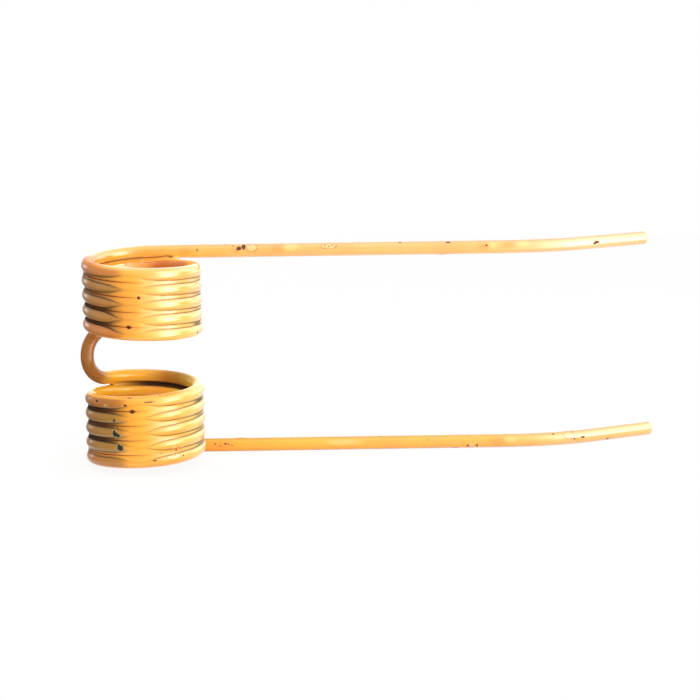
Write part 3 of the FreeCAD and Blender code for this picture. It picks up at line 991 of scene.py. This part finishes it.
def buildWorld():
    world = bpy.data.worlds.new("studioWorld")
    world.use_nodes = True
    tree = world.node_tree
    tree.nodes.clear()
    strength = addNode(tree, "ShaderNodeMix", {
        "Factor": whiteForSight(tree), "A": studio["worldFill"], "B": 1.0})
    light = addNode(tree, "ShaderNodeBackground", {"Color": (1, 1, 1, 1), "Strength": strength.outputs[0]})
    output = addNode(tree, "ShaderNodeOutputWorld")
    tree.links.new(light.outputs[0], output.inputs["Surface"])
    bpy.context.scene.world = world


def buildSheet(name, corners):
    mesh = bpy.data.meshes.new(name)
    mesh.from_pydata(corners, [], [(0, 1, 2, 3)])
    sheet = bpy.data.objects.new(name, mesh)
    bpy.context.scene.collection.objects.link(sheet)
    material, tree = newMaterial(name)
    mesh.materials.append(material)
    return sheet, tree


def buildFloor():
    (x0, y0), (x1, y1) = (np.array(studio[k]) * mm for k in ("floorLow", "floorHigh"))
    low = cadBox[0][2]
    floor, tree = buildSheet("studioFloor", [(x0, y0, low), (x1, y0, low), (x1, y1, low), (x0, y1, low)])
    matte = addNode(tree, "ShaderNodeBsdfDiffuse", {"Color": (0.85, 0.85, 0.85, 1)})
    glow = addNode(tree, "ShaderNodeEmission", {"Strength": 1.0})
    share = addNode(tree, "ShaderNodeMath", {
        0: whiteForSight(tree), 1: studio["floorGlow"]}, operation="MULTIPLY")
    mixed = addNode(tree, "ShaderNodeMixShader", {
        0: share.outputs[0], 1: matte.outputs[0], 2: glow.outputs[0]})
    output = addNode(tree, "ShaderNodeOutputMaterial")
    tree.links.new(mixed.outputs[0], output.inputs["Surface"])


# A lamp card lights the tine and is not seen, directly or in gloss
def buildCard(name, card):
    compass, height = np.radians(card["compass"]), np.radians(card["height"])
    away = Vector((np.sin(compass) * np.cos(height), -np.cos(compass) * np.cos(height), np.sin(height)))
    x, y = (v / 2 * mm for v in card["size"])
    piece, tree = buildSheet(name, [(-x, -y, 0), (x, -y, 0), (x, y, 0), (-x, y, 0)])
    spot = Vector(studio["aim"]) * mm + away * card["distance"] * mm
    piece.matrix_world = Matrix.Translation(spot) @ (-away).to_track_quat("Z", "Y").to_matrix().to_4x4()
    light = addNode(tree, "ShaderNodeEmission", {"Color": (*card["colour"], 1), "Strength": card["glow"]})
    output = addNode(tree, "ShaderNodeOutputMaterial")
    tree.links.new(light.outputs[0], output.inputs["Surface"])
    piece.visible_camera = False
    piece.visible_glossy = False


# The dome's glow at a compass angle and height, in degrees: a level round the compass that passes into the
# ceiling's above and the dark ground's below, plus bells exp(-(turn / width)^2 - (rise / tall)^2); the
# dark bell lies straight beyond the arms, which a glancing look along them would else turn white
def domeGlow(compass, height):
    level = np.interp(compass, dome["compass"], dome["level"])
    up = smoothRise(height, *dome["ceilingFrom"])
    down = smoothRise(-height, *(-v for v in dome["underFrom"]))
    level = level * (1 - up) + dome["ceiling"] * up
    level = level * (1 - down) + np.interp(compass, dome["compass"], dome["under"]) * down
    for at, rise, wide, tall, peak in dome["bells"]:
        turn = (compass - at + 180) % 360 - 180
        level = level + peak * np.exp(-(turn / wide) ** 2 - ((height - rise) / tall) ** 2)
    return np.maximum(level, dome["lowest"])


# A ball of quads round the studio, whose glow is worked out at its corners and shows in gloss only
def buildDome():
    compass = np.linspace(-180, 180, dome["stepsRound"] + 1)
    height = np.linspace(-89.5, 89.5, dome["stepsUp"] + 1)
    c, h = (np.radians(v) for v in np.meshgrid(compass, height))
    ball = np.stack((np.sin(c) * np.cos(h), -np.cos(c) * np.cos(h), np.sin(h)), 2) * dome["radius"]
    points = (ball + studio["aim"]).reshape(-1, 3) * mm
    corner = np.arange(c.size).reshape(c.shape)
    quads = np.stack((corner[:-1, :-1], corner[1:, :-1], corner[1:, 1:], corner[:-1, 1:]), 2)
    quads = quads.reshape(-1, 4)
    mesh = bpy.data.meshes.new("studioDome")
    mesh.from_pydata(points.tolist(), [], quads.tolist())
    glow = np.ones((c.size, 4))
    glow[:, :3] = domeGlow(np.degrees(c), np.degrees(h)).reshape(-1, 1)
    mesh.attributes.new("glow", "FLOAT_COLOR", "POINT").data.foreach_set("color", glow.ravel())
    ballPiece = bpy.data.objects.new("studioDome", mesh)
    bpy.context.scene.collection.objects.link(ballPiece)
    material, tree = newMaterial("studioDome")
    shade = addNode(tree, "ShaderNodeAttribute", attribute_name="glow")
    light = addNode(tree, "ShaderNodeEmission", {"Color": shade.outputs["Color"], "Strength": 1.0})
    output = addNode(tree, "ShaderNodeOutputMaterial")
    tree.links.new(light.outputs[0], output.inputs["Surface"])
    mesh.materials.append(material)
    for ray in ("camera", "diffuse", "transmission", "volume_scatter", "shadow"):
        setattr(ballPiece, "visible_" + ray, False)


paint = paintMaterial()
tine = buildWire()
paintWeb = buildWeb()
for piece in (tine, paintWeb):
    piece.data.materials.append(paint)
    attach(piece, "root")
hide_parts("double_tine")
print("wire dressed")

placeCamera()
buildWorld()
buildFloor()
for cardName, cardValues in studio["cards"].items():
    buildCard(cardName, cardValues)
buildDome()
bpy.context.scene.view_settings.view_transform = "Standard"
print("studio ready")
